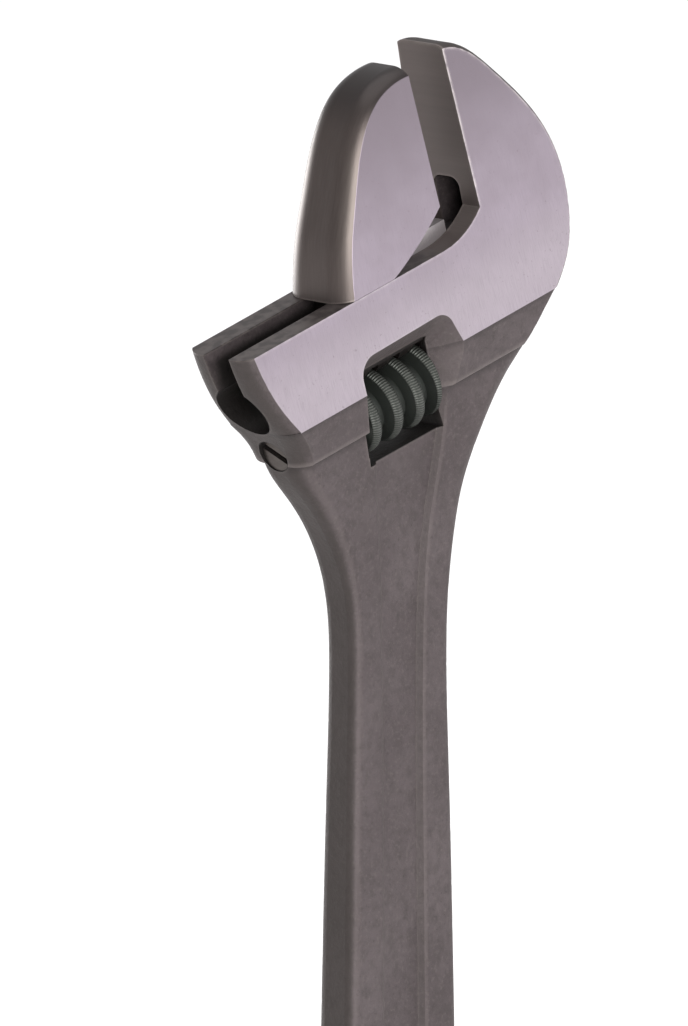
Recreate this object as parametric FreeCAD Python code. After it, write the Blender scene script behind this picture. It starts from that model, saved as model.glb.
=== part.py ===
import FreeCAD, Part
import math
import os

from FreeCAD import Placement, Rotation, Vector

os.makedirs("parts", exist_ok=True)

# ---------------------------------------------------------------- frames
# Wrench frame, mm: origin at the centre of the hang hole, +Z up the handle to the head,
# +X to the fixed jaw, front face towards -Y. The wrench is the same on both sides of Y = 0.
# Head frame: origin where the fixed jaw's clamping plane meets the slide surface,
# first axis along the slide towards the fixed jaw, third axis square to the slide.
HEAD_ANGLE = 15.0
HEAD_X = 13.85
HEAD_Z = 217.5
HEAD = Placement(Vector(HEAD_X, 0, HEAD_Z), Rotation(Vector(0, 1, 0), -HEAD_ANGLE))

# ---------------------------------------------------------------- driving sizes
SLIDE = 0.0
HALF_AT_SLIDE = 6.26
HEAD_TAPER = 0.0615
GROUND_BOTTOM = -13.85
PAD_BOTTOM = -20.2
PAD_HALF_LOW = 5.85
PAD_EDGE_ROUND = 0.5
GRIND_DEPTH = 0.7
ROUND_OVERRUN = 5.0
TIP_ROUND = 2.3
FIXED_JAW_ROUND = 4.2
JAW_TIP_ROUND = 3.6
JAW_BASE_ROUND = 4.5
END_ROUND = 3.8
PAD_SHARE_LEFT = 1.12
PAD_SHARE_RIGHT = 1.3
NECK_ROUND_LEFT = 3.6
NECK_ROUND_RIGHT = 2.8
NECK_END = 165.0
HANDLE_ROUND = 1.7
BIG = 80.0
PLATE_HALF = 10.0
TOUCH = 0.02

THROAT_START = -9.0
THROAT_HEIGHT = 3.3
FIXED_TIP = 28.6
BODY_LEFT = -51.4

END_RADIUS = 12.5
END_HALF = 3.98
HANG_HOLE_RADIUS = 4.6
HANG_HOLE_CHAMFER = 0.6

RACK_HEIGHT = -10.0
STEM_RADIUS = 4.3
BORE_RADIUS = 4.35
NECK_HALF = 2.5
SLOT_HALF = 2.56
SLOT_FLOOR_TOP = -0.4
SLOT_CORNER_ROUND = 1.6
SLIDE_GAP = 0.05
JAW_BASE = SLIDE + SLIDE_GAP

REST_GAP = 7.65
JAW_CHAMFER_HEIGHT = 6.5
JAW_BASE_RIGHT = -19.6
JAW_BACK = -30.2
JAW_TIP = 28.2
STEM_LEFT = -28.0
STEM_RIGHT = 2.5
NECK_TOP = -0.6
NECK_ROOT_TOP = 1.5
TONGUE_BOTTOM = -1.5
TONGUE_RIGHT = -4.2
TONGUE_TOP = 2.6
TONGUE_RISE = 1.4
SLOT_END = 5.2
SLOT_TOP = 7.5
STEM_BORE_END = 10.8

WORM_HEIGHT = -18.65
PITCH = 4.65
CREST_RADIUS = 6.4
ROOT_RADIUS = 4.35
CREST_HALF = 0.95
CREST_SHOULDER = 5.95
ROOT_HALF = 1.55
THREAD_SINK = 0.4
THREAD_BASE_GROW = 0.12
THREAD_LIMIT = 0.2
MESH_CLEARANCE = 0.08
RACK_CLEARANCE = 0.14
WINDOW_LEFT = -29.6
WINDOW_RIGHT = -13.9
WINDOW_BOTTOM = -25.9
WINDOW_TOP = -11.6
WORM_LEFT = -29.56
WORM_RIGHT = -14.2
WORM_CHAMFER = 0.7
CREST_AT_FRONT = -19.1

PIN_RADIUS = 2.2
PIN_HOLE_RADIUS = 2.25
PIN_THREAD_RADIUS = 2.55
PIN_THREAD_HOLE = 2.6
PIN_THREAD_END = -36.0
PIN_LEFT = -43.4
PIN_RIGHT = -7.2
PIN_HOLE_END = -7.0
PIN_SLOT_WIDTH = 0.9
PIN_SLOT_DEPTH = 1.2
PIN_SLOT_TURN = -65.0
PIN_NECK = 0.3
WORM_BORE_RADIUS = 2.25

SPRING_MEAN_RADIUS = 3.15
SPRING_WIRE_RADIUS = 0.4
SPRING_POCKET_RADIUS = 3.7
SPRING_POCKET_DEPTH = 5.0
SPRING_TURNS = 4

PANEL_DEPTH = 1.0
PANEL_REFERENCE = 2.5
PANEL_UNDER = 1.5
PANEL_OVER = 5.5
PANEL_RIM_ROUND = 0.9
PANEL_RIM_LOW = 33.0
PANEL_RIM_HIGH = 190.0
PANEL_RIM_REACH = 7.5


def head_half(height):
    """Half thickness of the ground head at a height in the head frame."""
    return HALF_AT_SLIDE - HEAD_TAPER * height


def in_head(shape):
    """Move a shape drawn in the head frame into the wrench frame."""
    moved = shape.copy()
    moved.Placement = HEAD.multiply(moved.Placement)
    return moved


def head_point(along, height):
    """A mid-plane point of the head frame, in the wrench frame."""
    return HEAD.multVec(Vector(along, 0, height))


def spline(points):
    """A smooth edge through a list of points."""
    curve = Part.BSplineCurve()
    curve.interpolate(points)
    return curve.toShape()


def prism(corners, axis, low, high):
    """Extrude a polygon given in the two other axes' coordinates along one axis."""
    if axis == "x":
        points = [Vector(low, a, b) for a, b in corners]
        direction = Vector(high - low, 0, 0)
    else:
        points = [Vector(a, low, b) for a, b in corners]
        direction = Vector(0, high - low, 0)
    wire = Part.makePolygon(points + [points[0]])
    return Part.Face(wire).extrude(direction)


def rounded_wire(corners, depth):
    """A closed wire of lines and corner arcs at one depth. Each corner: (x, z, radius)."""
    starts = []
    mids = []
    ends = []
    count = len(corners)
    for i in range(count):
        x, z, radius = corners[i]
        here = Vector(x, depth, z)
        before = Vector(corners[i - 1][0], depth, corners[i - 1][1]) - here
        after = Vector(corners[(i + 1) % count][0], depth, corners[(i + 1) % count][1]) - here
        before.normalize()
        after.normalize()
        half = before.getAngle(after) / 2
        reach = radius / math.tan(half)
        bisector = (before + after).normalize()
        centre = here + bisector * (radius / math.sin(half))
        starts.append(here + before * reach)
        mids.append(centre - bisector * radius)
        ends.append(here + after * reach)
    edges = []
    for i in range(count):
        edges.append(Part.Arc(starts[i], mids[i], ends[i]).toShape())
        edges.append(Part.makeLine(ends[i], starts[(i + 1) % count]))
    return Part.Wire(edges)


def flared(outer, inner, outer_depth, inner_depth):
    """A solid between two rounded outlines at two depths in front of the mid-plane."""
    wires = [rounded_wire(inner, -inner_depth), rounded_wire(outer, -outer_depth)]
    return Part.makeLoft(wires, True, True)


def mirrored_back(shape):
    """The same tool on the back face."""
    return shape.mirror(Vector(0, 0, 0), Vector(0, 1, 0))


def wanted_edges(solid, wanted):
    """Every edge whose sample points all satisfy a test."""
    chosen = []
    for edge in solid.Edges:
        span = edge.LastParameter - edge.FirstParameter
        samples = [edge.valueAt(edge.FirstParameter + share * span) for share in (0.15, 0.5, 0.85)]
        if all(wanted(p) for p in samples):
            chosen.append(edge)
    return chosen


def taper_zone(levels, grow):
    """A slab along the slide, its half thickness given at each height, thicker by grow."""
    front = [(-(half + grow), height) for half, height in levels]
    back = [(half + grow, height) for half, height in reversed(levels)]
    return prism(front + back, "x", -BIG, BIG)


def half_between(levels, height):
    """Half thickness at a height between the two levels of a tapered slab."""
    (low_half, low), (high_half, high) = levels
    return low_half + (height - low) / (high - low) * (high_half - low_half)


def round_edges(block, wanted, radius_at):
    """Round each wanted edge, its radius going evenly from one end's to the other's."""
    for edge in wanted_edges(block, wanted):
        ends = [edge.valueAt(edge.FirstParameter), edge.valueAt(edge.LastParameter)]
        match = [e for e in wanted_edges(block, wanted)
                 if (e.CenterOfMass - edge.CenterOfMass).Length < 0.3]
        block = block.makeFillet(radius_at(ends[0]), radius_at(ends[1]), match)
    return block


def forged_then_ground(block, levels, rounds, is_side):
    """Round a block's long outer edges while it is too thick, then grind it to thickness."""
    reach = [levels[0][1] - ROUND_OVERRUN, levels[1][1] + ROUND_OVERRUN]
    longer = [(half_between(levels, height), height) for height in reach]
    thick = block.common(taper_zone(longer, GRIND_DEPTH)).Solids[0]

    def outer(p):
        on_face = abs(abs(p.y) - half_between(levels, p.z) - GRIND_DEPTH) < TOUCH
        level = min(abs(p.z - reach[0]), abs(p.z - reach[1])) < TOUCH
        return on_face and not level and is_side(p)

    return round_edges(thick, outer, rounds).common(taper_zone(levels, 0))


# ---------------------------------------------------------------- body
def body_outline():
    """Mid-plane outline of the whole forging: head, neck, grip and rounded end."""
    points = [head_point(a, h) for a, h in (
        (0, FIXED_TIP), (2.6, 27.9), (5.2, 26.2), (9.3, 21.6), (14.0, 15.2), (17.7, 7.8),
        (18.9, 1.0), (18.4, -5.0), (16.3, -10.7))]
    points += [Vector(x, 0, z) for x, z in (
        (28.6, 204.2), (25.3, 199.2), (21.6, 195.4), (16.0, 187.0), (13.0, 180.0), (11.4, 172.8),
        (10.3, 164.0), (10.0, 154.0), (10.4, 137.0), (11.1, 107.0), (12.0, 49.0), (12.4, 14.0))]
    for i in range(9):
        angle = math.radians(-180 * i / 8)
        points.append(Vector(END_RADIUS * math.cos(angle), 0, END_RADIUS * math.sin(angle)))
    points += [Vector(x, 0, z) for x, z in (
        (-12.4, 14.0), (-12.0, 49.0), (-11.1, 107.0), (-10.4, 137.0), (-10.0, 154.0),
        (-11.2, 167.4), (-13.75, 173.7), (-18.6, 180.6), (-22.9, 186.0))]
    points += [head_point(a, h) for a, h in (
        (-44.2, -18.0), (-46.3, -13.8), (-48.4, -10.0), (-50.4, -4.6), (BODY_LEFT, SLIDE))]
    throat_rise = THROAT_HEIGHT - SLIDE
    throat_radius = (THROAT_START ** 2 + throat_rise ** 2) / (2 * throat_rise)
    middle = THROAT_START / 2
    middle_rise = throat_radius - math.sqrt(throat_radius ** 2 - (middle - THROAT_START) ** 2)
    edges = [
        spline(points),
        Part.makeLine(points[-1], head_point(THROAT_START, SLIDE)),
        Part.Arc(head_point(THROAT_START, SLIDE), head_point(middle, SLIDE + middle_rise),
                 head_point(0, THROAT_HEIGHT)).toShape(),
        Part.makeLine(head_point(0, THROAT_HEIGHT), points[0]),
    ]
    return Part.Wire(edges)


def head_round(p):
    """Forging radius at the tip, along the fixed jaw and at the open end of the slot."""
    if p.x < THROAT_START:
        return END_ROUND
    share = max(0.0, min(1.0, (FIXED_TIP - p.z) / FIXED_TIP))
    return TIP_ROUND + share * (FIXED_JAW_ROUND - TIP_ROUND)


def pad_round(p):
    """Forging radius on the sloped pad, larger so that it meets the head's round."""
    share = PAD_SHARE_LEFT if p.x < THROAT_START else PAD_SHARE_RIGHT
    return share * head_round(p)


def neck_round(p):
    """Forging radius under the pad, fading to the grip's."""
    if abs(p.z - NECK_END) < 0.1:
        return HANDLE_ROUND
    return NECK_ROUND_LEFT if p.x < 0 else NECK_ROUND_RIGHT


def is_head_side(p):
    """True on the outer sides of the head, false on its clamping, throat and slide faces."""
    clamping = abs(p.x) < TOUCH
    slide = abs(p.z - SLIDE) < TOUCH
    throat = (THROAT_START < p.x < TOUCH) and (-1 < p.z < THROAT_HEIGHT + TOUCH)
    return not (clamping or slide or throat)


def body_blank():
    """Head with tapered ground faces, sloped forged pad and thin handle, edges rounded."""
    outline = Part.Face(body_outline())
    outline.translate(Vector(0, -PLATE_HALF, 0))
    plate = outline.extrude(Vector(0, 2 * PLATE_HALF, 0))
    inverse = HEAD.inverse()
    level_plate = plate.copy()
    level_plate.Placement = inverse.multiply(level_plate.Placement)
    top = FIXED_TIP + 2
    ground_levels = ((head_half(GROUND_BOTTOM), GROUND_BOTTOM), (head_half(top), top))
    pad_levels = ((PAD_HALF_LOW, PAD_BOTTOM), (head_half(GROUND_BOTTOM), GROUND_BOTTOM))
    head = in_head(forged_then_ground(level_plate, ground_levels, head_round, is_head_side))
    pad = forged_then_ground(level_plate, pad_levels, pad_round, is_head_side).Solids[0]

    def is_pad_low_edge(p):
        return abs(p.z - PAD_BOTTOM) < TOUCH and abs(abs(p.y) - PAD_HALF_LOW) < TOUCH

    pad = in_head(pad.makeFillet(PAD_EDGE_ROUND, wanted_edges(pad, is_pad_low_edge)))
    below_pad = in_head(under(PAD_BOTTOM))
    below_overrun = in_head(under(PAD_BOTTOM + ROUND_OVERRUN))
    above_grip = box_between((-BIG, -PLATE_HALF, NECK_END), (BIG, PLATE_HALF, 4 * BIG))
    handle = plate.common(handle_slab(0))

    def is_neck_edge(p):
        top = abs(inverse.multVec(p).z - PAD_BOTTOM - ROUND_OVERRUN) < TOUCH
        return not top and abs(p.z - NECK_END) > TOUCH and abs(p.y) > 2.5

    def is_grip_edge(p):
        return abs(p.z - NECK_END) > TOUCH and abs(p.y) > 2.5

    neck = handle.common(below_overrun).common(above_grip).Solids[0]
    neck = round_edges(neck, is_neck_edge, neck_round).common(below_pad)
    grip = handle.cut(above_grip).Solids[0]
    grip = grip.makeFillet(HANDLE_ROUND, wanted_edges(grip, is_grip_edge))
    return head.fuse([pad, neck, grip])


def under(height):
    """Everything below a height in the head frame."""
    return box_between((-BIG, -PLATE_HALF, -4 * BIG), (BIG, PLATE_HALF, height))


def handle_slab(inset):
    """The handle's thickness profile, extruded across, thinner by an inset on each side."""
    stations = ((5.1, 212.0), (5.0, 194.0), (4.55, 187.5), (3.9, 180.0), (3.4, 169.0), (3.25, 154.0),
                (3.45, 130.0), (3.65, 107.0), (3.85, 50.0), (END_HALF, 0.0), (4.0, -20.0))
    front = [Vector(-BIG, -(half - inset), z) for half, z in stations]
    back = [Vector(-BIG, half - inset, z) for half, z in reversed(stations)]
    edges = [
        spline(front),
        Part.makeLine(front[-1], back[0]),
        spline(back),
        Part.makeLine(back[-1], front[0]),
    ]
    return Part.Face(Part.Wire(edges)).extrude(Vector(2 * BIG, 0, 0))


def panel_tool():
    """Front recess of the I-section grip, walls sloped at 45 degrees down to its floor."""
    widths = ((4.9, 192.0), (5.2, 187.0), (5.0, 181.5), (4.25, 172.0), (3.9, 161.0), (3.4, 107.0),
              (3.6, 40.0))
    wires = []
    for grow in (-PANEL_UNDER, PANEL_OVER):
        depth = PANEL_REFERENCE + grow
        right = [Vector(half + grow, -depth, z) for half, z in widths]
        left = [Vector(-half - grow, -depth, z) for half, z in reversed(widths)]
        low = widths[-1][1] - widths[-1][0] - grow
        edges = [
            Part.makeLine(left[-1], right[0]),
            spline(right),
            Part.Arc(right[-1], Vector(0, -depth, low), left[0]).toShape(),
            spline(left),
        ]
        wires.append(Part.Wire(edges))
    recess = Part.makeLoft(wires, True, True)
    return recess.cut(handle_slab(PANEL_DEPTH))


def thumb_tool():
    """Front relief around the worm window, drawn in the head frame."""
    outer = [(-30.3, -24.5, 0.3), (-30.3, -7.9, 3.6), (-10.4, -7.4, 3.0), (-8.2, -14.7, 1.5),
             (-10.6, -24.5, 0.3)]
    inner = [(-29.6, -24.5, 0.2), (-29.6, -11.8, 1.8), (-13.6, -11.8, 1.6), (-13.4, -18.0, 0.8),
             (-14.2, -24.5, 0.2)]
    return flared(outer, inner, 7.6, 3.9)


def cylinder_along(radius, left, right, height):
    """A cylinder along the slide direction, in the head frame."""
    return Part.makeCylinder(radius, right - left, Vector(left, 0, height), Vector(1, 0, 0))


def box_between(low, high):
    """A box from its low corner to its high corner."""
    size = [h - l for l, h in zip(low, high)]
    return Part.makeBox(size[0], size[1], size[2], Vector(*low))


def slot_tool():
    """Slot for the jaw's neck, with the rounded pocket it leaves in the fixed jaw."""
    deep = box_between((-BIG, -SLOT_HALF, RACK_HEIGHT), (STEM_BORE_END, SLOT_HALF, SLOT_FLOOR_TOP))
    tall = box_between((-BIG, -SLOT_HALF, RACK_HEIGHT), (SLOT_END, SLOT_HALF, SLOT_TOP))
    corners = [e for e in tall.Edges
               if abs(e.Vertexes[0].Z - SLOT_TOP) < 0.01 and abs(e.Vertexes[1].Z - SLOT_TOP) < 0.01
               and abs(abs(e.Vertexes[0].Y) - SLOT_HALF) < 0.01
               and abs(e.Vertexes[0].Y - e.Vertexes[1].Y) < 0.01]
    return deep.fuse(tall.makeFillet(SLOT_CORNER_ROUND, corners))


def make_body():
    blank = body_blank()
    tools = [
        slot_tool(),
        cylinder_along(BORE_RADIUS, -BIG, STEM_BORE_END, RACK_HEIGHT),
        box_between((WINDOW_LEFT, -PLATE_HALF, WINDOW_BOTTOM), (WINDOW_RIGHT, PLATE_HALF, WINDOW_TOP)),
        cylinder_along(PIN_THREAD_HOLE, -BIG, PIN_THREAD_END, WORM_HEIGHT),
        cylinder_along(PIN_HOLE_RADIUS, PIN_THREAD_END - 1, PIN_HOLE_END, WORM_HEIGHT),
        thumb_tool(),
        mirrored_back(thumb_tool()),
    ]
    body = blank
    for tool in tools:
        body = body.cut(in_head(tool))
    for tool in (panel_tool(), mirrored_back(panel_tool())):
        body = body.cut(tool)
    faces = handle_slab(0).Shells[0]

    def is_panel_rim(p):
        inside = PANEL_RIM_LOW < p.z < PANEL_RIM_HIGH and abs(p.x) < PANEL_RIM_REACH
        return inside and faces.distToShape(Part.Vertex(p))[0] < TOUCH

    body = body.Solids[0]
    body = body.makeFillet(PANEL_RIM_ROUND, wanted_edges(body, is_panel_rim))
    hole = Part.makeCylinder(HANG_HOLE_RADIUS, 2 * PLATE_HALF, Vector(0, -PLATE_HALF, 0), Vector(0, 1, 0))
    rim = Part.makeCone(HANG_HOLE_RADIUS + 2 * HANG_HOLE_CHAMFER, HANG_HOLE_RADIUS, 2 * HANG_HOLE_CHAMFER,
                        Vector(0, -END_HALF - HANG_HOLE_CHAMFER, 0), Vector(0, 1, 0))
    for tool in (hole, rim, mirrored_back(rim)):
        body = body.cut(tool)
    return body


# ---------------------------------------------------------------- worm and rack
def thread_solid(left, turns, grow):
    """Helical ridge around the worm's axis, drawn in the head frame."""
    height = turns * PITCH
    radius = ROOT_RADIUS - THREAD_SINK
    crest_at_bottom = CREST_AT_FRONT - 0.75 * PITCH
    start = left + math.fmod(crest_at_bottom - left, PITCH)
    helix = Part.makeLongHelix(PITCH, height, radius, 0, False)
    low = radius
    base = ROOT_HALF + THREAD_BASE_GROW + grow
    shoulder = CREST_HALF + grow
    top = CREST_RADIUS + grow
    points = [Vector(low, 0, -base), Vector(CREST_SHOULDER + grow, 0, -shoulder), Vector(top, 0, 0),
              Vector(CREST_SHOULDER + grow, 0, shoulder), Vector(low, 0, base)]
    profile = Part.Wire([
        Part.makeLine(points[0], points[1]),
        Part.Arc(points[1], points[2], points[3]).toShape(),
        Part.makeLine(points[3], points[4]),
        Part.makeLine(points[4], points[0]),
    ])
    ridge = Part.Wire(helix).makePipeShell([profile], True, True)
    ridge = Part.Solid(ridge) if ridge.ShapeType == "Shell" else ridge
    turn = Placement(Vector(start, 0, WORM_HEIGHT), Rotation(Vector(0, 1, 0), 90))
    ridge.Placement = turn.multiply(ridge.Placement)
    return ridge


def make_worm():
    length = WORM_RIGHT - WORM_LEFT
    ridge = thread_solid(WORM_LEFT - 2 * PITCH, 8, 0)
    core = cylinder_along(ROOT_RADIUS, WORM_LEFT, WORM_RIGHT, WORM_HEIGHT)
    limit_radius = CREST_RADIUS + THREAD_LIMIT
    limit = cylinder_along(limit_radius, WORM_LEFT, WORM_RIGHT, WORM_HEIGHT)
    rims = [e for e in limit.Edges if abs(e.Length - 2 * math.pi * limit_radius) < TOUCH]
    limit = limit.makeChamfer(WORM_CHAMFER, rims)
    worm = ridge.common(limit).fuse(core)
    worm = worm.cut(cylinder_along(WORM_BORE_RADIUS, WORM_LEFT - 1, WORM_RIGHT + 1, WORM_HEIGHT))
    pocket_start = WORM_RIGHT - SPRING_POCKET_DEPTH
    worm = worm.cut(cylinder_along(SPRING_POCKET_RADIUS, pocket_start, WORM_RIGHT + 1, WORM_HEIGHT))
    return in_head(worm)


def rack_gullets():
    """Straight gullets across the stem, tilted to the worm's lead, one per thread pitch."""
    tilt = PITCH / (2 * math.pi * CREST_RADIUS)
    half_length = STEM_RADIUS + 1
    crest_at_top = CREST_AT_FRONT - 0.25 * PITCH
    first = math.floor((STEM_LEFT - crest_at_top) / PITCH)
    last = math.ceil((STEM_RIGHT - crest_at_top) / PITCH)
    widths = ((ROOT_HALF + RACK_CLEARANCE, ROOT_RADIUS - THREAD_SINK),
              (CREST_HALF + RACK_CLEARANCE, CREST_SHOULDER),
              (CREST_HALF - 0.1, CREST_RADIUS + MESH_CLEARANCE))
    gullets = []
    for i in range(first, last + 1):
        centre = crest_at_top + i * PITCH
        wires = []
        for y in (-half_length, half_length):
            shift = centre - tilt * y
            right = [Vector(shift + half, y, WORM_HEIGHT + radius) for half, radius in widths]
            left = [Vector(shift - half, y, WORM_HEIGHT + radius) for half, radius in reversed(widths)]
            wires.append(Part.makePolygon(right + left + [right[0]]))
        gullets.append(Part.makeLoft(wires, True, True))
    return gullets


def make_movable_jaw():
    back = [Vector(a, -PLATE_HALF, h) for a, h in (
        (-REST_GAP, JAW_TIP), (-11.6, 28.1), (-15.0, 27.1), (-17.9, 25.2), (-20.4, 22.5),
        (-22.35, 19.6), (-25.1, 14.3), (-28.0, 8.1), (-29.7, 2.5), (JAW_BACK, JAW_BASE))]
    base = Vector(JAW_BASE_RIGHT, -PLATE_HALF, JAW_BASE)
    knee = Vector(-REST_GAP, -PLATE_HALF, JAW_CHAMFER_HEIGHT)
    sag = Vector((base.x + knee.x) / 2 + 0.2, -PLATE_HALF, (base.z + knee.z) / 2 - 0.35)
    outline = Part.Wire([
        spline(back),
        Part.makeLine(back[-1], base),
        Part.Arc(base, sag, knee).toShape(),
        Part.makeLine(knee, back[0]),
    ])
    blank = Part.Face(outline).extrude(Vector(0, 2 * PLATE_HALF, 0))
    levels = ((head_half(-1), -1), (head_half(JAW_TIP + 2), JAW_TIP + 2))

    def jaw_round(p):
        return JAW_TIP_ROUND if abs(p.z - JAW_TIP) < 1 else JAW_BASE_ROUND

    def is_jaw_back(p):
        clamping = abs(p.x + REST_GAP) < TOUCH
        under = (p.x > JAW_BASE_RIGHT) and (p.z < JAW_CHAMFER_HEIGHT + TOUCH)
        return not (clamping or under or abs(p.z - JAW_BASE) < TOUCH)

    blank = forged_then_ground(blank, levels, jaw_round, is_jaw_back)

    neck = box_between((STEM_LEFT, -NECK_HALF, RACK_HEIGHT), (STEM_RIGHT, NECK_HALF, NECK_TOP))
    root = box_between((STEM_LEFT, -NECK_HALF, RACK_HEIGHT), (JAW_BASE_RIGHT, NECK_HALF, NECK_ROOT_TOP))
    tongue = box_between((JAW_BASE_RIGHT - 1, -NECK_HALF, TONGUE_BOTTOM),
                         (TONGUE_RIGHT, NECK_HALF, TONGUE_TOP))
    fill_right = -REST_GAP - 0.01
    fill = prism([(JAW_BASE_RIGHT, -0.8), (fill_right, -0.8), (fill_right, JAW_CHAMFER_HEIGHT + 1),
                  (JAW_BASE_RIGHT, 1)], "y", -NECK_HALF, NECK_HALF)
    slope_left = JAW_BASE_RIGHT - 2
    slope_right = TONGUE_RIGHT + 1
    tongue_slope = prism([(slope_left, -2), (slope_right, -2), (slope_right, TONGUE_TOP + 0.5),
                          (-REST_GAP, TONGUE_TOP + TONGUE_RISE), (slope_left, 0.05)], "y", -BIG, BIG)
    tongue = tongue.common(tongue_slope)
    stem = cylinder_along(STEM_RADIUS, STEM_LEFT, STEM_RIGHT, RACK_HEIGHT)
    jaw = blank.fuse([neck, root, tongue, fill, stem])
    clear_core = cylinder_along(ROOT_RADIUS + MESH_CLEARANCE, STEM_LEFT - 1, STEM_RIGHT + 1, WORM_HEIGHT)
    jaw = jaw.cut(clear_core)
    for gullet in rack_gullets():
        jaw = jaw.cut(gullet)
    return in_head(jaw)


# ---------------------------------------------------------------- pin and spring
def make_pin():
    shank = cylinder_along(PIN_RADIUS, PIN_THREAD_END, PIN_RIGHT, WORM_HEIGHT)
    threaded = cylinder_along(PIN_THREAD_RADIUS, PIN_LEFT, PIN_THREAD_END - PIN_NECK, WORM_HEIGHT)
    neck = cylinder_along(PIN_RADIUS, PIN_THREAD_END - 1, PIN_THREAD_END + 1, WORM_HEIGHT)
    pin = shank.fuse([threaded, neck])
    slot = box_between((PIN_LEFT - 1, -PIN_SLOT_WIDTH / 2, WORM_HEIGHT - 5),
                       (PIN_LEFT + PIN_SLOT_DEPTH, PIN_SLOT_WIDTH / 2, WORM_HEIGHT + 5))
    slot.rotate(Vector(0, 0, WORM_HEIGHT), Vector(1, 0, 0), PIN_SLOT_TURN)
    return in_head(pin.cut(slot))


def make_spring():
    start = WORM_RIGHT - SPRING_POCKET_DEPTH + 0.05 + SPRING_WIRE_RADIUS
    end = WINDOW_RIGHT - 0.02 - SPRING_WIRE_RADIUS
    pitch = (end - start) / SPRING_TURNS
    helix = Part.makeLongHelix(pitch, end - start, SPRING_MEAN_RADIUS, 0, False)
    circle = Part.makeCircle(SPRING_WIRE_RADIUS, Vector(SPRING_MEAN_RADIUS, 0, 0), Vector(0, 1, 0))
    coil = Part.Wire(helix).makePipeShell([Part.Wire(circle)], True, True)
    coil = Part.Solid(coil) if coil.ShapeType == "Shell" else coil
    turn = Placement(Vector(start, 0, WORM_HEIGHT), Rotation(Vector(0, 1, 0), 90))
    coil.Placement = turn.multiply(coil.Placement)
    return in_head(coil)


body = make_body()
movable_jaw = make_movable_jaw()
worm = make_worm()
worm_pin = make_pin()
worm_spring = make_spring()

body.exportStep("parts/body.step")
movable_jaw.exportStep("parts/movable_jaw.step")
worm.exportStep("parts/worm.step")
worm_pin.exportStep("parts/worm_pin.step")
worm_spring.exportStep("parts/worm_spring.step")
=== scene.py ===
import math

import bpy
from mathutils import Matrix, Vector


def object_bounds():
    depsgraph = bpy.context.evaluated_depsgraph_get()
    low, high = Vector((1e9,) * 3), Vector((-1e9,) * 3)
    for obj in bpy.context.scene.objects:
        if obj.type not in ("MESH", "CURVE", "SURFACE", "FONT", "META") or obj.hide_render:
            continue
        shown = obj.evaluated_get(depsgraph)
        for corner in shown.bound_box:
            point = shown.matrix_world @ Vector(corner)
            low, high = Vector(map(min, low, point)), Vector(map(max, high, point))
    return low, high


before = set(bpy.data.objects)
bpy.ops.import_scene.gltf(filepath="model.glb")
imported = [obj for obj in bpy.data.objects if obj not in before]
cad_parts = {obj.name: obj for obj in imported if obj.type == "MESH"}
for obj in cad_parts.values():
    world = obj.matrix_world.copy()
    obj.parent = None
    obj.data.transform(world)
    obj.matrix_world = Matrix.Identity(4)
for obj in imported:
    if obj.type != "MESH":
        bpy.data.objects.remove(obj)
cad_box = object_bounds()
scene = bpy.context.scene

# ---------------------------------------------------------------- places on the wrench
# Millimetres. The wrench's own sizes are those of the CAD, and the places where a finish starts
# or ends are chosen here. In the head frame the origin is where the fixed jaw meets the slide,
# "along" runs along the slide towards the fixed jaw, and "height" is square to the slide.
HEAD_ANGLE = math.radians(15.0)
HEAD_X = 13.85
HEAD_Z = 217.5
# The two ground faces: half the thickness at height 0, what it loses per millimetre of height,
# and the faces' lower edge. Below them is the raised pad.
HALF_AT_SLIDE = 6.26
HEAD_TAPER = 0.0615
GROUND_BOTTOM = -13.85
PAD_BOTTOM = -20.2
# The slot between the rails, and the bore that the jaw's round stem slides in. The painted shade
# inside starts a little in from the slot's open end, goes up to SLOT_DARK_TOP, and takes in
# nothing beyond HOLLOWS_END, where the bore has ended.
SLOT_HALF = 2.56
SLOT_DARK_START = -51.0
SLOT_DARK_TOP = -2.4
BORE_HEIGHT = -10.0
BORE_RADIUS = 4.35
HOLLOWS_END = 11.0
# The axis of the worm and its pin, the radius from which the worm's serrations show in full, the
# wider end of the pin's hole, and the worm's window.
WORM_HEIGHT = -18.65
SERRATED_RADIUS = 6.1
PIN_THREAD_HOLE = 2.6
WINDOW_LEFT = -29.6
WINDOW_RIGHT = -13.9
WINDOW_BOTTOM = -25.9
WINDOW_TOP = -11.6
WINDOW_HALF = 4.6
# Where the movable jaw's base ends at rest, the height just above its tongue, and where the
# rails' blotchy tops give way to the clean throat.
JAW_BASE_RIGHT = -19.6
ABOVE_TONGUE = 3.0
RAILS_END = -11.0
# How far from a hollow's wall its painted shade starts to fade and has faded out.
FLAT_WALL = (0.05, 0.2)
ROUND_WALL = (0.03, 0.15)
# A ground face takes in points up to this far inside its plane. Its border is uneven.
GROUND_SKIN = (-0.07, -0.025)
GROUND_WOBBLE = 0.03
GROUND_BORDER = 0.1

# Rays that each edge or crease test sends out, and how closely a rounded normal matches the true
# one where an edge starts to count and where it counts in full.
SHADE_SAMPLES = 6
EDGE_MATCH = (0.99, 0.85)


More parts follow.
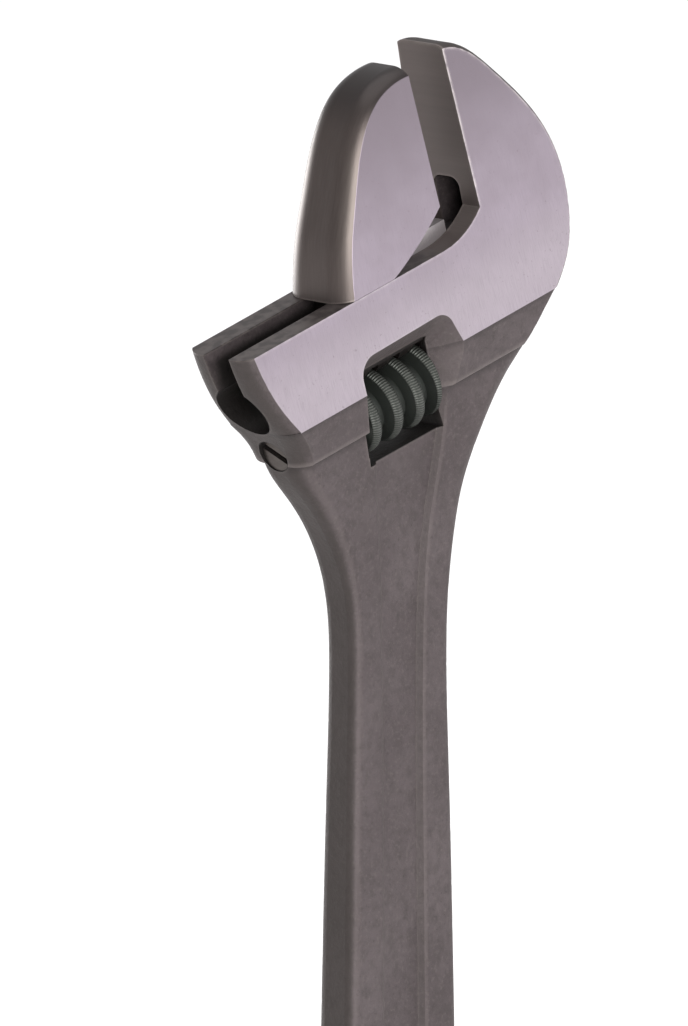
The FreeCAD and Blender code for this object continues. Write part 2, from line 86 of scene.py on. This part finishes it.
class Shade:
    """One node material, written a node at a time. Positions are in millimetres."""

    def __init__(self, name):
        self.material = bpy.data.materials.new(name)
        self.material.use_nodes = True
        self.tree = self.material.node_tree
        self.shader = self.tree.nodes["Principled BSDF"]
        place = self.add("ShaderNodeTexCoord").outputs["Object"]
        self.place = self.scaled(place, (1000.0, 1000.0, 1000.0))
        parts = self.add("ShaderNodeSeparateXYZ", {0: self.place})
        self.x, self.y, self.z = parts.outputs
        self.side = self.calc("ABSOLUTE", self.y)
        self.along, self.height = self.head()
        normal = self.add("ShaderNodeTexCoord").outputs["Normal"]
        normal_y = self.add("ShaderNodeSeparateXYZ", {0: normal}).outputs["Y"]
        self.facing = self.calc("ABSOLUTE", normal_y)

    def add(self, kind, inputs=None, **settings):
        made = self.tree.nodes.new(kind)
        for name, value in settings.items():
            setattr(made, name, value)
        for key, value in (inputs or {}).items():
            self.put(made.inputs[key], value)
        return made

    def put(self, socket, value):
        if isinstance(value, bpy.types.NodeSocket):
            self.tree.links.new(value, socket)
        else:
            socket.default_value = value

    # ---- arithmetic
    def calc(self, operation, a, b=0.0, c=0.0):
        return self.add("ShaderNodeMath", {0: a, 1: b, 2: c}, operation=operation).outputs[0]

    def scaled(self, vector, by):
        return self.add("ShaderNodeVectorMath", {0: vector, 1: by}, operation="MULTIPLY").outputs[0]

    def lerp(self, share, a, b):
        made = self.add("ShaderNodeMix", data_type="FLOAT")
        self.put(made.inputs[0], share)
        self.put(made.inputs[2], a)
        self.put(made.inputs[3], b)
        return made.outputs[0]

    # ---- masks, from 0 to 1
    def fade(self, value, low, high, from_value=0.0, to_value=1.0):
        """Smooth change from one value to another as the input goes from low to high."""
        made = self.add("ShaderNodeMapRange",
                        {0: value, 1: low, 2: high, 3: from_value, 4: to_value},
                        interpolation_type="SMOOTHSTEP")
        return made.outputs[0]

    def near_wall(self, distance, wall, reach):
        """1 up to just past a wall at a distance. The reach is where it starts and ends to fade."""
        return self.fade(distance, wall + reach[1], wall + reach[0])

    def between(self, value, low, high, soft_low, soft_high):
        """1 from low to high, fading out over a soft width beyond each."""
        return self.all_of(self.fade(value, low - soft_low, low),
                           self.fade(value, high + soft_high, high))

    def all_of(self, *masks):
        product = masks[0]
        for mask in masks[1:]:
            product = self.calc("MULTIPLY", product, mask)
        return product

    def any_of(self, *masks):
        largest = masks[0]
        for mask in masks[1:]:
            largest = self.calc("MAXIMUM", largest, mask)
        return largest

    def opposite(self, mask):
        return self.calc("SUBTRACT", 1.0, mask)

    # ---- colour
    def mix(self, share, a, b):
        made = self.add("ShaderNodeMix", data_type="RGBA")
        made.clamp_factor = True
        self.put(made.inputs[0], share)
        self.put(made.inputs[6], a)
        self.put(made.inputs[7], b)
        return made.outputs[2]

    def layered(self, colour, layers):
        """A colour with layers laid over it in turn, each a mask, a strength and a colour."""
        for mask, strength, top in layers:
            colour = self.mix(self.calc("MULTIPLY", mask, strength), colour, top)
        return colour

    # ---- texture
    def noise(self, vector, size, detail=2.0, rough=0.5):
        """Noise from 0 to 1 whose features are about size millimetres across."""
        made = self.add("ShaderNodeTexNoise", {"Vector": vector, "Scale": 1.0 / size,
                                               "Detail": detail, "Roughness": rough})
        return made.outputs["Fac"]

    def bump(self, height, reach, strength=1.0, before=None):
        """A normal from a height from 0 to 1 that stands for reach millimetres."""
        made = self.add("ShaderNodeBump", {"Height": height, "Distance": reach / 1000.0,
                                           "Strength": strength})
        if before is not None:
            self.put(made.inputs["Normal"], before)
        return made.outputs["Normal"]

    def edges(self, radius):
        """1 near an edge sharper than a radius in millimetres, 0 elsewhere."""
        rounded = self.add("ShaderNodeBevel", {"Radius": radius / 1000.0}, samples=SHADE_SAMPLES)
        true = self.add("ShaderNodeNewGeometry").outputs["Normal"]
        same = self.add("ShaderNodeVectorMath", {0: rounded.outputs[0], 1: true},
                        operation="DOT_PRODUCT")
        return self.fade(same.outputs["Value"], *EDGE_MATCH)

    def openness(self, reach):
        """1 in the open, towards 0 in creases and hollows narrower than a reach in millimetres."""
        made = self.add("ShaderNodeAmbientOcclusion", {"Distance": reach / 1000.0},
                        samples=SHADE_SAMPLES, only_local=True)
        return made.outputs["AO"]

    # ---- places
    def head(self):
        """Position along the slide and height above it, in the head frame."""
        east = self.calc("SUBTRACT", self.x, HEAD_X)
        up = self.calc("SUBTRACT", self.z, HEAD_Z)
        cos, sin = math.cos(HEAD_ANGLE), math.sin(HEAD_ANGLE)
        along = self.calc("ADD", self.calc("MULTIPLY", east, cos), self.calc("MULTIPLY", up, sin))
        height = self.calc("SUBTRACT", self.calc("MULTIPLY", up, cos),
                           self.calc("MULTIPLY", east, sin))
        return along, height

    def from_axis(self, level):
        """Distance from an axis along the slide, in the mid-plane at a level."""
        up = self.calc("SUBTRACT", self.height, level)
        return self.calc("SQRT", self.calc("ADD", self.calc("MULTIPLY", up, up),
                                           self.calc("MULTIPLY", self.y, self.y)))

    def outside_face(self):
        """How far a point lies outside the plane of the nearer ground face."""
        face = self.calc("MULTIPLY_ADD", self.height, -HEAD_TAPER, HALF_AT_SLIDE)
        return self.calc("SUBTRACT", self.side, face)

    def ground(self, noise):
        """1 on the two ground faces of the head, with a slightly uneven border."""
        wobble = self.calc("SUBTRACT", noise, 0.5)
        depth = self.calc("MULTIPLY_ADD", wobble, GROUND_WOBBLE, self.outside_face())
        return self.all_of(self.fade(depth, *GROUND_SKIN),
                           self.fade(self.height, GROUND_BOTTOM - GROUND_BORDER, GROUND_BOTTOM))

    def finish(self, colour, roughness, metallic, normal):
        self.put(self.shader.inputs["Base Color"], colour)
        self.put(self.shader.inputs["Roughness"], roughness)
        self.put(self.shader.inputs["Metallic"], metallic)
        self.put(self.shader.inputs["Normal"], normal)
        return self.material


def rgb(red, green, blue):
    """A colour given as it looks on screen, 0 to 255, in scene-linear numbers."""
    def linear(value):
        share = value / 255.0
        return share / 12.92 if share <= 0.04045 else ((share + 0.055) / 1.055) ** 2.4
    return (linear(red), linear(green), linear(blue), 1.0)


# ---------------------------------------------------------------- shared finishes
# Depths of relief are in millimetres. A finish that varies has its lowest and highest roughness.
GROUND_ROUGH = (0.36, 0.5)
GROUND_METALLIC = 0.9
LINE_DEPTH = 0.006
LINE_STRENGTH = 0.7
LINES_ALONG = 7.0
LINES_UP = 0.35

# Ranges in which a layer comes in: of height in millimetres, or of a noise.
TIPS_RANGE = (0.0, 27.0)
WORM_RANGE = (2.0, -10.0)
CLOUDS = (0.35, 0.68)
LINES = (0.42, 0.75)
SPECKS = (0.64, 0.8)
MOTTLING = (0.3, 0.7)
BLOTCHES = (0.35, 0.75)
LIGHT_GRAINS = (0.5, 0.74)
DARK_GRAINS = (0.44, 0.26)

GROUND_STAINED = rgb(123, 114, 122)
GROUND_CLEAN = rgb(131, 122, 131)
GROUND_TIPS_SHADE = rgb(98, 90, 96)
GROUND_WORM_LIGHT = rgb(144, 136, 142)
GROUND_LINE = rgb(112, 104, 112)
GROUND_SPECK = rgb(94, 84, 88)

SCALE_DARK = rgb(68, 60, 61)
SCALE_LIGHT = rgb(80, 72, 73)
SCALE_BLOTCH = rgb(57, 51, 50)
SCALE_LIGHT_GRAIN = rgb(94, 86, 85)
SCALE_DARK_GRAIN = rgb(48, 42, 42)


def ground_steel(shade):
    """Surface-ground steel: pale lilac grey, fine lines square to the slide, faint cloudy stain.

    Gives the colour, the roughness and the noise that the lines are made of."""
    squeezed = shade.calc("MULTIPLY", shade.along, LINES_ALONG)
    drawn_out = shade.calc("MULTIPLY", shade.height, LINES_UP)
    stretched = shade.add("ShaderNodeCombineXYZ", {0: squeezed, 1: 0.0, 2: drawn_out}).outputs[0]
    lines = shade.noise(stretched, size=1.0, detail=4.0, rough=0.65)
    cloud = shade.noise(shade.place, size=11.0, detail=3.0, rough=0.55)
    speck = shade.noise(shade.place, size=0.5, detail=2.0, rough=0.6)
    colour = shade.mix(shade.fade(cloud, *CLOUDS), GROUND_STAINED, GROUND_CLEAN)
    colour = shade.layered(colour, (
        # Painted shade darkens the ground faces towards the tips; painted light brightens them towards
        # the worm.
        (shade.fade(shade.height, *TIPS_RANGE), 0.85, GROUND_TIPS_SHADE),
        (shade.fade(shade.height, *WORM_RANGE), 0.7, GROUND_WORM_LIGHT),
        (shade.fade(lines, *LINES), 0.35, GROUND_LINE),
        (shade.fade(speck, *SPECKS), 0.55, GROUND_SPECK),
    ))
    return colour, shade.lerp(lines, *GROUND_ROUGH), lines


def forged_grain(shade):
    """The fine and the coarse grain of blasted forging scale."""
    fine = shade.noise(shade.place, size=0.55, detail=3.0, rough=0.65)
    coarse = shade.noise(shade.place, size=1.5)
    return fine, coarse


def forged_steel(shade, fine, coarse):
    """Blasted forging scale: light and dark grain over broad soft mottling."""
    broad = shade.noise(shade.place, size=14.0, detail=3.0)
    colour = shade.mix(shade.fade(broad, *MOTTLING), SCALE_DARK, SCALE_LIGHT)
    return shade.layered(colour, (
        (shade.fade(coarse, *BLOTCHES), 0.5, SCALE_BLOTCH),
        (shade.fade(fine, *LIGHT_GRAINS), 0.5, SCALE_LIGHT_GRAIN),
        (shade.fade(fine, *DARK_GRAINS), 0.55, SCALE_DARK_GRAIN),
    ))


# ---------------------------------------------------------------- body
BODY_EDGE = 0.9
CREASE_REACH = 3.0
GRAIN_DEPTH = 0.07
FORGED_ROUGH = (0.5, 0.68)
FORGED_METALLIC = 0.55
MILLED_ROUGH = 0.42

# "facing" is 1 where the surface faces front or back and 0 where it faces sideways. A range with
# four numbers goes on to give the lowest and the highest strength.
FLANK_FACING = (0.9, 0.5)
WEAR_PATCHES = (0.3, 0.62, 0.25, 1.0)
RUB_PATCHES = (0.25, 0.6, 0.35, 1.0)
RAIL_BLOTCHES = (0.35, 0.65)
CREASE_OPENNESS = (0.3, 0.95, 0.45, 1.0)
BRIGHT_EDGE_HEIGHT = (2.0, 6.0, 0.25, 0.8)
MILLED_ALONG = (0.6, 0.2)
MILLED_HEIGHT = (-0.25, -0.08)

FLANK_SHADE = rgb(52, 47, 44)
RUBBED_AND_HIGHLIGHT = rgb(106, 98, 96)
WORN_SCALE = rgb(112, 104, 100)
LEDGE_SHADE = rgb(38, 33, 33)
PAD_EDGE_HIGHLIGHT = rgb(112, 104, 102)
MILLED_DARK = rgb(72, 64, 62)
MILLED_LIGHT = rgb(90, 81, 78)
WORN_MILLED = rgb(130, 122, 116)
RAIL_DARK = rgb(56, 50, 49)
RAIL_LIGHT = rgb(82, 75, 73)
HOLLOW_SHADE_DARK = rgb(22, 19, 18)
HOLLOW_SHADE_LIGHT = rgb(36, 32, 30)
CREASE_SHADE = rgb(16, 13, 13)
WORN_GROUND = rgb(202, 194, 192)


def hollows_of_body(shade):
    """1 on the walls of the slot, the bore, the pin's hole and the window, inside the body."""
    slot = shade.all_of(
        shade.near_wall(shade.side, SLOT_HALF, FLAT_WALL),
        shade.between(shade.height, BORE_HEIGHT, SLOT_DARK_TOP, 4.0, 1.6),
        shade.fade(shade.along, SLOT_DARK_START, SLOT_DARK_START + 3.0))
    bore = shade.near_wall(shade.from_axis(BORE_HEIGHT), BORE_RADIUS, ROUND_WALL)
    pin_hole = shade.near_wall(shade.from_axis(WORM_HEIGHT), PIN_THREAD_HOLE, ROUND_WALL)
    wall, faded = FLAT_WALL
    window = shade.all_of(
        shade.fade(shade.along, WINDOW_LEFT - faded, WINDOW_LEFT - wall),
        shade.near_wall(shade.along, WINDOW_RIGHT, FLAT_WALL),
        shade.fade(shade.height, WINDOW_BOTTOM - faded, WINDOW_BOTTOM - wall),
        shade.near_wall(shade.height, WINDOW_TOP, FLAT_WALL),
        shade.fade(shade.side, WINDOW_HALF, WINDOW_HALF - 1.2))
    return shade.all_of(shade.any_of(slot, window, bore, pin_hole),
                        shade.fade(shade.along, HOLLOWS_END + 1.0, HOLLOWS_END))


def body_material():
    shade = Shade("forged_and_ground_steel")
    along, height, facing = shade.along, shade.height, shade.facing
    fine, coarse = forged_grain(shade)
    ground = shade.ground(coarse)
    ground_colour, ground_rough, lines = ground_steel(shade)

    # Painted shade: surfaces that face sideways are darkened.
    flank_shade = shade.fade(facing, *FLANK_FACING)
    # Rounded edges between front and sides: worn bright in patches, and partly a painted highlight.
    rubbed_and_highlight = shade.all_of(shade.between(facing, 0.86, 0.93, 0.2, 0.055),
                          shade.fade(coarse, *RUB_PATCHES))
    worn = shade.all_of(shade.edges(BODY_EDGE), shade.fade(coarse, *WEAR_PATCHES))
    # Painted shade in a band just under the pad and under the ground faces.
    under_pad = shade.between(height, PAD_BOTTOM, PAD_BOTTOM, 1.8, 0.1)
    under_face = shade.between(height, GROUND_BOTTOM - 0.1, GROUND_BOTTOM, 1.0, 0.1)
    ledge_shade = shade.any_of(under_pad, shade.calc("MULTIPLY", under_face, 0.8))
    # Painted highlight along the pad's lower edge.
    pad_edge_highlight = shade.between(height, PAD_BOTTOM + 0.15, PAD_BOTTOM + 0.3, 0.2, 0.7)
    forged_colour = shade.layered(forged_steel(shade, fine, coarse), (
        (flank_shade, 0.7, FLANK_SHADE),
        (rubbed_and_highlight, 0.18, RUBBED_AND_HIGHLIGHT),
        (worn, 0.35, WORN_SCALE),
        (ledge_shade, 0.55, LEDGE_SHADE),
        (pad_edge_highlight, 0.35, PAD_EDGE_HIGHLIGHT),
    ))

    milled = shade.all_of(shade.fade(along, *MILLED_ALONG), shade.fade(height, *MILLED_HEIGHT))
    milled_colour = shade.mix(lines, MILLED_DARK, MILLED_LIGHT)
    milled_colour = shade.layered(milled_colour, ((worn, 0.4, WORN_MILLED),))
    rails = shade.all_of(milled, shade.fade(along, RAILS_END + 2.0, RAILS_END))
    rail_colour = shade.mix(shade.fade(coarse, *RAIL_BLOTCHES), RAIL_DARK, RAIL_LIGHT)
    # Painted shade in creases and narrow hollows, from an occlusion test.
    crease_shade = shade.opposite(shade.fade(shade.openness(CREASE_REACH), *CREASE_OPENNESS))
    bright_edge = shade.all_of(worn, shade.fade(height, *BRIGHT_EDGE_HEIGHT))
    colour = shade.layered(forged_colour, (
        # Painted shade on the walls inside the hollows.
        (hollows_of_body(shade), 1.0, shade.mix(fine, HOLLOW_SHADE_DARK, HOLLOW_SHADE_LIGHT)),
        (milled, 1.0, milled_colour),
        (rails, 1.0, rail_colour),
        (crease_shade, 1.0, CREASE_SHADE),
        (ground, 1.0, shade.mix(bright_edge, ground_colour, WORN_GROUND)),
    ))

    rough = shade.lerp(milled, shade.lerp(fine, *FORGED_ROUGH), MILLED_ROUGH)
    rough = shade.lerp(ground, rough, ground_rough)
    metallic = shade.lerp(ground, FORGED_METALLIC, GROUND_METALLIC)
    smooth = shade.any_of(milled, ground)
    grain = shade.all_of(shade.calc("ADD", fine, coarse), shade.opposite(smooth))
    normal = shade.bump(grain, GRAIN_DEPTH)
    normal = shade.bump(shade.all_of(lines, smooth), LINE_DEPTH, LINE_STRENGTH, normal)
    return shade.finish(colour, rough, metallic, normal)


# ---------------------------------------------------------------- jaw
JAW_EDGE = 0.6
POLISH_STRETCH = (0.25, 6.0, 0.25)
POLISH_DEPTH = 0.006
POLISH_STRENGTH = 0.6
SATIN_ROUGH = (0.28, 0.42)
SATIN_METALLIC = 0.75

# The painted highlight runs as a band along the rounded edges of the jaw's back. Ranges are as for the
# body.
BAND_DEPTH = (-2.6, -0.1)
BAND_FACING = (0.15, 0.5)
BAND_END = (24.0, 17.0, 0.1, 1.0)
BAND_START = (1.0, 11.0, 0.35, 1.0)
SATIN_EDGES = (0.2, 0.9)
TIP_HEIGHT = (22.0, 28.0)
STEM_HEIGHT = (-0.25, -0.6)
GROUND_HEIGHT = (-0.3, 0.0)

SATIN_DARK = rgb(66, 59, 57)
SATIN_LIGHT = rgb(82, 74, 71)
SATIN_HIGHLIGHT = rgb(132, 124, 116)
SATIN_EDGE = rgb(150, 141, 135)
SATIN_TIP_SHADE = rgb(46, 42, 42)
STEM_DARK = rgb(32, 28, 27)
STEM_LIGHT = rgb(48, 43, 41)
TONGUE_DARK = rgb(142, 136, 138)
TONGUE_LIGHT = rgb(168, 162, 163)


def jaw_material():
    shade = Shade("ground_and_milled_steel")
    height = shade.height
    fine, coarse = forged_grain(shade)
    ground = shade.all_of(shade.ground(coarse), shade.fade(height, *GROUND_HEIGHT))
    ground_colour, ground_rough, lines = ground_steel(shade)

    polish = shade.noise(shade.scaled(shade.place, POLISH_STRETCH), size=1.0, detail=3.0, rough=0.6)
    # Painted highlight in a band along the rounded edges next to the ground faces.
    highlight_band = shade.all_of(shade.fade(shade.outside_face(), *BAND_DEPTH),
                        shade.fade(shade.facing, *BAND_FACING),
                        shade.fade(height, *BAND_END),
                        shade.fade(height, *BAND_START))
    tongue = shade.all_of(shade.fade(shade.along, JAW_BASE_RIGHT, JAW_BASE_RIGHT + 2.0),
                          shade.fade(shade.side, SLOT_HALF + 0.1, SLOT_HALF),
                          shade.between(height, 0.0, ABOVE_TONGUE, 1.0, 0.4))
    colour = shade.layered(shade.mix(polish, SATIN_DARK, SATIN_LIGHT), (
        (highlight_band, 0.2, SATIN_HIGHLIGHT),
        (shade.fade(shade.edges(JAW_EDGE), *SATIN_EDGES), 0.3, SATIN_EDGE),
        # Painted shade towards the tip.
        (shade.fade(height, *TIP_HEIGHT), 0.85, SATIN_TIP_SHADE),
        (shade.fade(height, *STEM_HEIGHT), 1.0, shade.mix(fine, STEM_DARK, STEM_LIGHT)),
        (tongue, 1.0, shade.mix(lines, TONGUE_DARK, TONGUE_LIGHT)),
        (ground, 1.0, ground_colour),
    ))

    rough = shade.lerp(ground, shade.lerp(polish, *SATIN_ROUGH), ground_rough)
    metallic = shade.lerp(ground, SATIN_METALLIC, GROUND_METALLIC)
    polished = shade.all_of(polish, shade.opposite(ground))
    normal = shade.bump(polished, POLISH_DEPTH, POLISH_STRENGTH)
    normal = shade.bump(shade.all_of(lines, ground), LINE_DEPTH, LINE_STRENGTH, normal)
    return shade.finish(colour, rough, metallic, normal)


# ---------------------------------------------------------------- worm, pin and spring
SERRATIONS = 96.0
SERRATION_DEPTH = 0.09
SERRATION_STRENGTH = 0.8
SERRATION_TOPS = (0.45, 0.9)
CREST_BAND = 0.35
WORM_GRAIN_DEPTH = 0.012
WORM_GRAIN_STRENGTH = 0.6
WORM_ROUGH = (0.36, 0.52)
WORM_METALLIC = 0.7
WORM_DARK = rgb(42, 45, 42)
WORM_LIGHT = rgb(54, 57, 53)
WORM_SHINE = rgb(104, 104, 99)

PIN_ROUGH = (0.32, 0.5)
PIN_METALLIC = 0.8
PIN_RING_DEPTH = 0.01
PIN_RING_STRENGTH = 0.8
PIN_DARK = rgb(62, 57, 55)
PIN_LIGHT = rgb(92, 86, 82)

WIRE_ROUGH = (0.28, 0.44)
WIRE_METALLIC = 0.95
WIRE_GRAIN_DEPTH = 0.006
WIRE_GRAIN_STRENGTH = 0.6
WIRE_DARK = rgb(92, 88, 84)
WIRE_LIGHT = rgb(138, 132, 126)


def worm_material():
    shade = Shade("blackened_knurled_steel")
    fine = shade.noise(shade.place, size=0.3, detail=3.0, rough=0.6)
    broad = shade.noise(shade.place, size=4.0)
    angle = shade.calc("ARCTAN2", shade.calc("SUBTRACT", shade.height, WORM_HEIGHT), shade.y)
    turns = shade.calc("DIVIDE", angle, 2 * math.pi)
    teeth = shade.calc("PINGPONG", shade.calc("MULTIPLY", turns, SERRATIONS), 0.5)
    teeth = shade.calc("MULTIPLY", teeth, 2.0)
    radius = shade.from_axis(WORM_HEIGHT)
    crest = shade.fade(radius, SERRATED_RADIUS - CREST_BAND, SERRATED_RADIUS)
    shine = shade.all_of(shade.fade(teeth, *SERRATION_TOPS), crest)
    colour = shade.mix(broad, WORM_DARK, WORM_LIGHT)
    colour = shade.layered(colour, ((shine, 0.5, WORM_SHINE),))
    normal = shade.bump(shade.all_of(teeth, crest), SERRATION_DEPTH, SERRATION_STRENGTH)
    normal = shade.bump(fine, WORM_GRAIN_DEPTH, WORM_GRAIN_STRENGTH, normal)
    return shade.finish(colour, shade.lerp(fine, *WORM_ROUGH), WORM_METALLIC, normal)


def pin_material():
    shade = Shade("oiled_turned_steel")
    fine = shade.noise(shade.place, size=0.25, detail=3.0, rough=0.6)
    radius = shade.from_axis(WORM_HEIGHT)
    turned = shade.add("ShaderNodeCombineXYZ", {0: radius, 1: shade.along, 2: 0.0}).outputs[0]
    rings = shade.noise(turned, size=0.12)
    colour = shade.mix(rings, PIN_DARK, PIN_LIGHT)
    normal = shade.bump(rings, PIN_RING_DEPTH, PIN_RING_STRENGTH)
    return shade.finish(colour, shade.lerp(fine, *PIN_ROUGH), PIN_METALLIC, normal)


def spring_material():
    shade = Shade("drawn_spring_wire")
    fine = shade.noise(shade.place, size=0.2, detail=3.0, rough=0.6)
    colour = shade.mix(fine, WIRE_DARK, WIRE_LIGHT)
    normal = shade.bump(fine, WIRE_GRAIN_DEPTH, WIRE_GRAIN_STRENGTH)
    return shade.finish(colour, shade.lerp(fine, *WIRE_ROUGH), WIRE_METALLIC, normal)


finishes = {
    "body": body_material(),
    "movable_jaw": jaw_material(),
    "worm": worm_material(),
    "worm_pin": pin_material(),
    "worm_spring": spring_material(),
}
for name, finish in finishes.items():
    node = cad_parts[name]
    node.data.materials.clear()
    node.data.materials.append(finish)

# ---------------------------------------------------------------- floor
# From here on, lengths are in metres, apart from those of the floor's material.
FLOOR_HALF = 6.0
FLOOR_GAP = 0.0002
FLOOR_ROUGH = (0.62, 0.7)
FLOOR_DULL = rgb(250, 250, 250)
FLOOR_CLEAN = rgb(254, 254, 254)
FLOOR_GRAIN_DEPTH = 0.02
FLOOR_GRAIN_STRENGTH = 0.3
FLOOR_CORNERS = ((-1, -1), (1, -1), (1, 1), (-1, 1))


def floor_material():
    shade = Shade("studio_floor")
    broad = shade.noise(shade.place, size=600.0)
    fine = shade.noise(shade.place, size=3.0)
    colour = shade.mix(broad, FLOOR_DULL, FLOOR_CLEAN)
    normal = shade.bump(fine, FLOOR_GRAIN_DEPTH, FLOOR_GRAIN_STRENGTH)
    return shade.finish(colour, shade.lerp(fine, *FLOOR_ROUGH), 0.0, normal)


floor_level = cad_box[0].z - FLOOR_GAP
floor_mesh = bpy.data.meshes.new("floor")
floor_mesh.from_pydata([(x * FLOOR_HALF, y * FLOOR_HALF, floor_level) for x, y in FLOOR_CORNERS],
                       [], [(0, 1, 2, 3)])
floor_mesh.materials.append(floor_material())
floor = bpy.data.objects.new("floor", floor_mesh)
scene.collection.objects.link(floor)

# ---------------------------------------------------------------- camera
AZIMUTH = -46.0
ELEVATION = 11.0
CAMERA_DISTANCE = 3.0
FRAME_HEIGHT = 0.14908
SENSOR = 36.0
AIM_HEIGHT = 0.1989
AIM_RIGHT = -0.00639
AIM_UP = -0.0221
CLIP_NEAR = 0.05
CLIP_FAR = 30.0


def direction(azimuth, elevation):
    """Unit vector from angles in degrees. Azimuth 0 is towards -Y and 90 towards +X."""
    azimuth, elevation = math.radians(azimuth), math.radians(elevation)
    return Vector((math.sin(azimuth) * math.cos(elevation),
                   -math.cos(azimuth) * math.cos(elevation),
                   math.sin(elevation)))


back = direction(AZIMUTH, ELEVATION)
right = direction(AZIMUTH + 90.0, 0.0)
up = back.cross(right)
target = Vector((0.0, 0.0, AIM_HEIGHT)) + right * AIM_RIGHT + up * AIM_UP
camera_data = bpy.data.cameras.new("camera")
camera_data.sensor_width = SENSOR
camera_data.lens = SENSOR * CAMERA_DISTANCE / FRAME_HEIGHT
camera_data.clip_start = CLIP_NEAR
camera_data.clip_end = CLIP_FAR
camera = bpy.data.objects.new("camera", camera_data)
scene.collection.objects.link(camera)
stand = Matrix((right, up, back)).transposed().to_4x4()
stand.translation = target + back * CAMERA_DISTANCE
camera.matrix_world = stand
scene.camera = camera

# ---------------------------------------------------------------- light
HEAD_CENTRE = Vector((0.0, 0.0, 0.2))
WORLD_COLOUR = (1.0, 0.99, 1.0, 1.0)
WORLD_STRENGTH = 0.65
OVERHEAD_STRENGTH = 1.3
OVERHEAD_SPREAD = 60.0


def softbox(name, azimuth, elevation, distance, width, height, power):
    """A rectangular area light facing the head, placed by its direction from there."""
    data = bpy.data.lights.new(name, "AREA")
    data.shape = "RECTANGLE"
    data.size = width
    data.size_y = height
    data.energy = power
    made = bpy.data.objects.new(name, data)
    away = direction(azimuth, elevation)
    turn = away.to_track_quat("Z", "Y").to_matrix().to_4x4()
    turn.translation = HEAD_CENTRE + away * distance
    made.matrix_world = turn
    made.visible_camera = False
    scene.collection.objects.link(made)


scene.view_settings.view_transform = "Standard"
world = bpy.data.worlds.new("studio")
world.use_nodes = True
background = world.node_tree.nodes["Background"]
background.inputs["Color"].default_value = WORLD_COLOUR
background.inputs["Strength"].default_value = WORLD_STRENGTH
scene.world = world
softbox("key_softbox", azimuth=-32.0, elevation=10.0, distance=1.2, width=0.55, height=0.9, power=13.0)
softbox("fill_softbox", azimuth=35.0, elevation=5.0, distance=1.0, width=0.8, height=1.0, power=5.0)
softbox("back_softbox", azimuth=180.0, elevation=-2.0, distance=1.2, width=0.9, height=0.36, power=6.0)
overhead = bpy.data.lights.new("overhead", "SUN")
overhead.energy = OVERHEAD_STRENGTH
overhead.angle = math.radians(OVERHEAD_SPREAD)
scene.collection.objects.link(bpy.data.objects.new("overhead", overhead))
